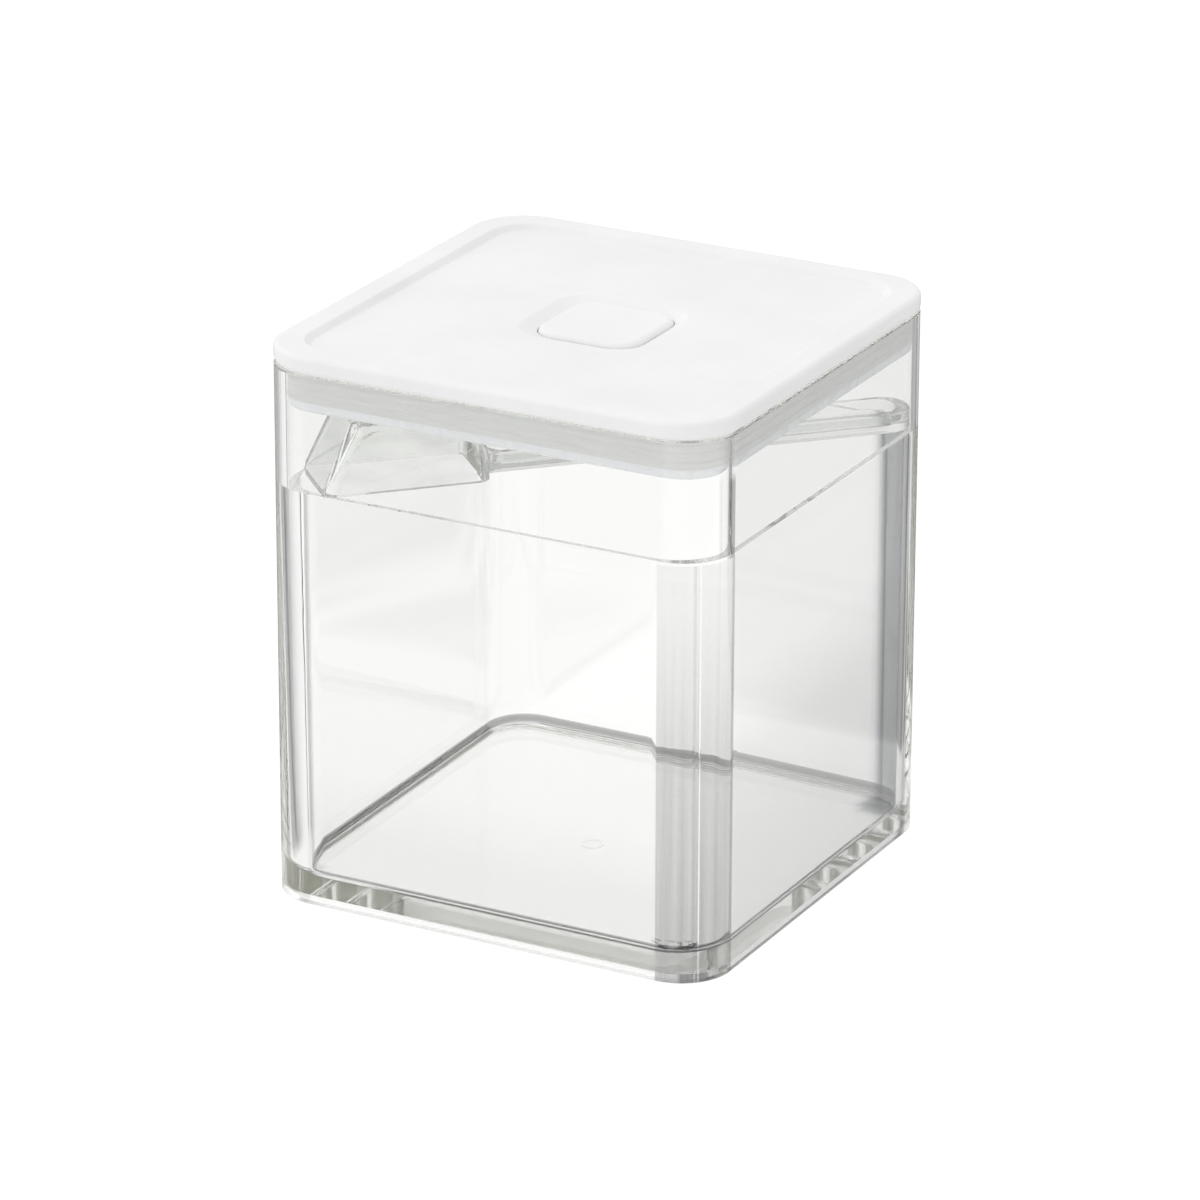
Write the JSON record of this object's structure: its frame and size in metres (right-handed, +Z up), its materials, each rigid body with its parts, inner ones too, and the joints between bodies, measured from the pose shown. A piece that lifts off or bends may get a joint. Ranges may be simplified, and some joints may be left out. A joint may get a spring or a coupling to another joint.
{
  "type": "airtight canister with spoon",
  "caption": "Square clear canister with a white push-valve lid, a soft gasket that seals in the mouth, and a clear scoop spoon stored on a ledge under the lid.",
  "frame": {"origin": "middle of the base, on the surface that the canister stands on", "axes": "+Z up through the lid; X and Y square to the side walls; the stored spoon runs along the X = Y diagonal, its bowl at -X -Y"},
  "size_m": [0.12, 0.12, 0.1381],
  "materials": {
    "clear_body": "polished clear plastic with a faint grey-green tint",
    "clear_spoon": "polished clear plastic",
    "white_lid": "white moulded plastic, fine satin",
    "white_frame": "white moulded plastic, smooth",
    "white_button": "white moulded plastic, fine satin",
    "gasket": "soft pale grey silicone",
    "seal": "soft pale silicone",
    "steel": "drawn stainless wire",
    "clip": "white moulded plastic"
  },
  "bodies": {
    "container": {"container_body": "clear_body"},
    "lid": {"lid_cover": "white_lid", "lid_plug_frame": "white_frame", "lid_gasket": "gasket", "valve_spring": "steel"},
    "valve": {"valve_button": "white_button", "valve_seal_disc": "seal", "valve_retaining_clip": "clip"},
    "spoon": {"spoon": "clear_spoon"}
  },
  "joints": [
    {"name": "lid_lift", "type": "slide", "parent": "container", "child": "lid", "axis": [0, 0, 1], "range_m": [0, 0.11]},
    {"name": "valve_press", "type": "slide", "parent": "lid", "child": "valve", "axis": [0, 0, -1], "range_m": [0, 0.0015], "stiffness_N_per_m": 900, "springref_m": -0.0015, "deforming": ["valve_spring"]},
    {"name": "spoon_lift", "type": "slide", "parent": "container", "child": "spoon", "axis": [0, 0, 1], "range_m": [0, 0.055]}
  ],
  "couplings": [
    {"joint": "spoon_lift", "follows": "lid_lift", "ratio": 0.5}
  ]
}
